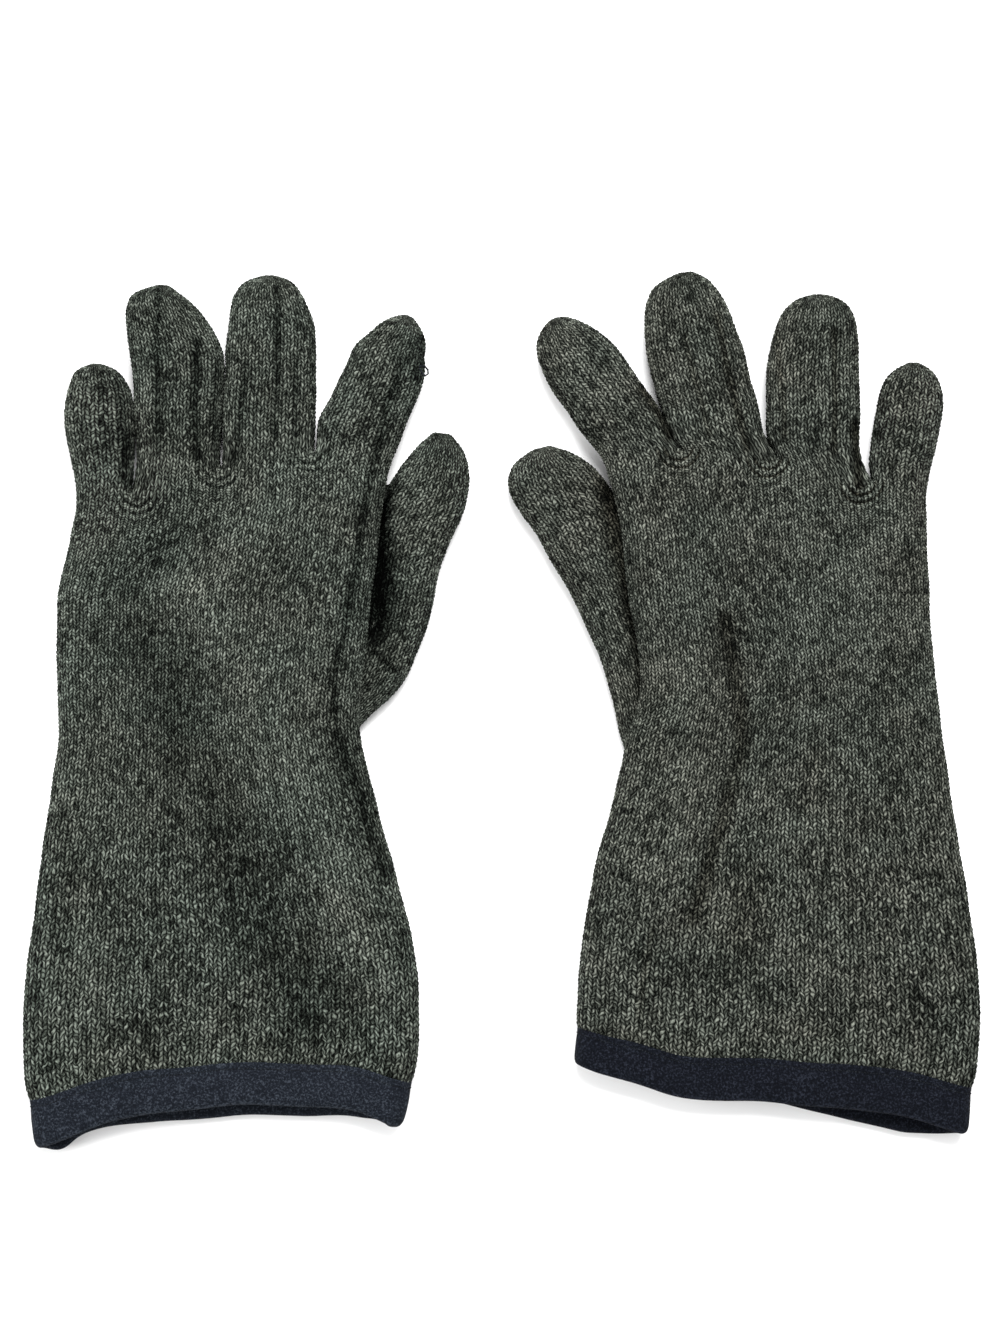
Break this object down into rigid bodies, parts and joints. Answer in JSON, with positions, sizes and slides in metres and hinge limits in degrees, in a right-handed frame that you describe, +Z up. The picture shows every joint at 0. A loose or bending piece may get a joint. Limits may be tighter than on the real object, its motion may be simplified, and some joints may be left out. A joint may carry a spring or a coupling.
{
  "type": "pair of heat resistant gloves",
  "caption": "Pair of knitted heat resistant gloves with long flared cuffs, soft liner and bound hems, lying flat; wrists, fingers and thumbs bend.",
  "frame": {"origin": "centre of the pair's footprint on the surface the gloves lie on", "axes": "+Z up, out of the backs of the hands; +Y from cuffs to fingertips; +X from the left glove to the right glove"},
  "size_m": [0.3501, 0.3181, 0.016],
  "materials": {
    "knit": "dark green-grey mottled knit",
    "liner": "soft brushed liner",
    "binding": "soft dark navy tape",
    "thread": "sewing thread"
  },
  "bodies": {
    "left_cuff": {"left_cuff_shell": "knit", "left_cuff_liner": "liner", "left_cuff_binding": "binding", "left_binding_stitch": "thread"},
    "left_hand": {"left_hand_shell": "knit", "left_hand_liner": "liner"},
    "left_index_base": {"left_index_base_shell": "knit", "left_index_base_liner": "liner"},
    "left_index_tip": {"left_index_tip_shell": "knit", "left_index_tip_liner": "liner"},
    "left_middle_base": {"left_middle_base_shell": "knit", "left_middle_base_liner": "liner"},
    "left_middle_tip": {"left_middle_tip_shell": "knit", "left_middle_tip_liner": "liner"},
    "left_ring_base": {"left_ring_base_shell": "knit", "left_ring_base_liner": "liner"},
    "left_ring_tip": {"left_ring_tip_shell": "knit", "left_ring_tip_liner": "liner"},
    "left_little_base": {"left_little_base_shell": "knit", "left_little_base_liner": "liner"},
    "left_little_tip": {"left_little_tip_shell": "knit", "left_little_tip_liner": "liner"},
    "left_thumb_base": {"left_thumb_base_shell": "knit", "left_thumb_base_liner": "liner"},
    "left_thumb_tip": {"left_thumb_tip_shell": "knit", "left_thumb_tip_liner": "liner"},
    "right_cuff": {"right_cuff_shell": "knit", "right_cuff_liner": "liner", "right_cuff_binding": "binding", "right_binding_stitch": "thread"},
    "right_hand": {"right_hand_shell": "knit", "right_hand_liner": "liner"},
    "right_index_base": {"right_index_base_shell": "knit", "right_index_base_liner": "liner"},
    "right_index_tip": {"right_index_tip_shell": "knit", "right_index_tip_liner": "liner"},
    "right_middle_base": {"right_middle_base_shell": "knit", "right_middle_base_liner": "liner"},
    "right_middle_tip": {"right_middle_tip_shell": "knit", "right_middle_tip_liner": "liner"},
    "right_ring_base": {"right_ring_base_shell": "knit", "right_ring_base_liner": "liner"},
    "right_ring_tip": {"right_ring_tip_shell": "knit", "right_ring_tip_liner": "liner"},
    "right_little_base": {"right_little_base_shell": "knit", "right_little_base_liner": "liner"},
    "right_little_tip": {"right_little_tip_shell": "knit", "right_little_tip_liner": "liner"},
    "right_thumb_base": {"right_thumb_base_shell": "knit", "right_thumb_base_liner": "liner"},
    "right_thumb_tip": {"right_thumb_tip_shell": "knit", "right_thumb_tip_liner": "liner"}
  },
  "joints": [
    {"name": "left_wrist_bend", "type": "hinge", "parent": "left_cuff", "child": "left_hand", "pos_m": [-0.1057, -0.0251, 0.008], "axis": [-1, 0, 0], "range_deg": [-40, 50]},
    {"name": "left_index_root_bend", "type": "hinge", "parent": "left_hand", "child": "left_index_base", "pos_m": [-0.0535, 0.0944, 0.008], "axis": [-1, 0, 0], "range_deg": [-15, 70]},
    {"name": "left_index_end_bend", "type": "hinge", "parent": "left_index_base", "child": "left_index_tip", "pos_m": [-0.0439, 0.1194, 0.008], "axis": [-1, 0, 0], "range_deg": [0, 65]},
    {"name": "left_middle_root_bend", "type": "hinge", "parent": "left_hand", "child": "left_middle_base", "pos_m": [-0.0859, 0.0944, 0.008], "axis": [-1, 0, 0], "range_deg": [-15, 70]},
    {"name": "left_middle_end_bend", "type": "hinge", "parent": "left_middle_base", "child": "left_middle_tip", "pos_m": [-0.08438, 0.1234, 0.008], "axis": [-1, 0, 0], "range_deg": [0, 65]},
    {"name": "left_ring_root_bend", "type": "hinge", "parent": "left_hand", "child": "left_ring_base", "pos_m": [-0.1179, 0.0944, 0.008], "axis": [-1, 0, 0], "range_deg": [-15, 70]},
    {"name": "left_ring_end_bend", "type": "hinge", "parent": "left_ring_base", "child": "left_ring_tip", "pos_m": [-0.11898, 0.1214, 0.008], "axis": [-1, 0, 0], "range_deg": [0, 65]},
    {"name": "left_little_root_bend", "type": "hinge", "parent": "left_hand", "child": "left_little_base", "pos_m": [-0.1457, 0.0819, 0.008], "axis": [-1, 0, 0], "range_deg": [-15, 70]},
    {"name": "left_little_end_bend", "type": "hinge", "parent": "left_little_base", "child": "left_little_tip", "pos_m": [-0.14756, 0.1009, 0.008], "axis": [-1, 0, 0], "range_deg": [0, 65]},
    {"name": "left_thumb_root_bend", "type": "hinge", "parent": "left_hand", "child": "left_thumb_base", "pos_m": [-0.0345, 0.0259, 0.008], "axis": [-0.9848, 0.1736, 0], "range_deg": [-15, 50]},
    {"name": "left_thumb_end_bend", "type": "hinge", "parent": "left_thumb_base", "child": "left_thumb_tip", "pos_m": [-0.02842, 0.06037, 0.008], "axis": [-0.9848, 0.1736, 0], "range_deg": [0, 65]},
    {"name": "right_glove_lift", "type": "slide", "parent": "left_cuff", "child": "right_cuff", "axis": [0, 0, 1], "range_m": [0, 0.08]},
    {"name": "right_wrist_bend", "type": "hinge", "parent": "right_cuff", "child": "right_hand", "pos_m": [0.1056, -0.0232, 0.008], "axis": [-1, 0, 0], "range_deg": [-40, 50]},
    {"name": "right_index_root_bend", "type": "hinge", "parent": "right_hand", "child": "right_index_base", "pos_m": [0.0484, 0.0963, 0.008], "axis": [-1, 0, 0], "range_deg": [-15, 70]},
    {"name": "right_index_end_bend", "type": "hinge", "parent": "right_index_base", "child": "right_index_tip", "pos_m": [0.03338, 0.1213, 0.008], "axis": [-1, 0, 0], "range_deg": [0, 65]},
    {"name": "right_middle_root_bend", "type": "hinge", "parent": "right_hand", "child": "right_middle_base", "pos_m": [0.0819, 0.0963, 0.008], "axis": [-1, 0, 0], "range_deg": [-15, 70]},
    {"name": "right_middle_end_bend", "type": "hinge", "parent": "right_middle_base", "child": "right_middle_tip", "pos_m": [0.07574, 0.1253, 0.008], "axis": [-1, 0, 0], "range_deg": [0, 65]},
    {"name": "right_ring_root_bend", "type": "hinge", "parent": "right_hand", "child": "right_ring_base", "pos_m": [0.1168, 0.0963, 0.008], "axis": [-1, 0, 0], "range_deg": [-15, 70]},
    {"name": "right_ring_end_bend", "type": "hinge", "parent": "right_ring_base", "child": "right_ring_tip", "pos_m": [0.1168, 0.1233, 0.008], "axis": [-1, 0, 0], "range_deg": [0, 65]},
    {"name": "right_little_root_bend", "type": "hinge", "parent": "right_hand", "child": "right_little_base", "pos_m": [0.1472, 0.0838, 0.008], "axis": [-1, 0, 0], "range_deg": [-15, 70]},
    {"name": "right_little_end_bend", "type": "hinge", "parent": "right_little_base", "child": "right_little_tip", "pos_m": [0.15124, 0.1028, 0.008], "axis": [-1, 0, 0], "range_deg": [0, 65]},
    {"name": "right_thumb_root_bend", "type": "hinge", "parent": "right_hand", "child": "right_thumb_base", "pos_m": [0.0452, 0.0278, 0.008], "axis": [-0.8942, -0.4478, 0], "range_deg": [-15, 50]},
    {"name": "right_thumb_end_bend", "type": "hinge", "parent": "right_thumb_base", "child": "right_thumb_tip", "pos_m": [0.02953, 0.0591, 0.008], "axis": [-0.8942, -0.4478, 0], "range_deg": [0, 65]}
  ]
}
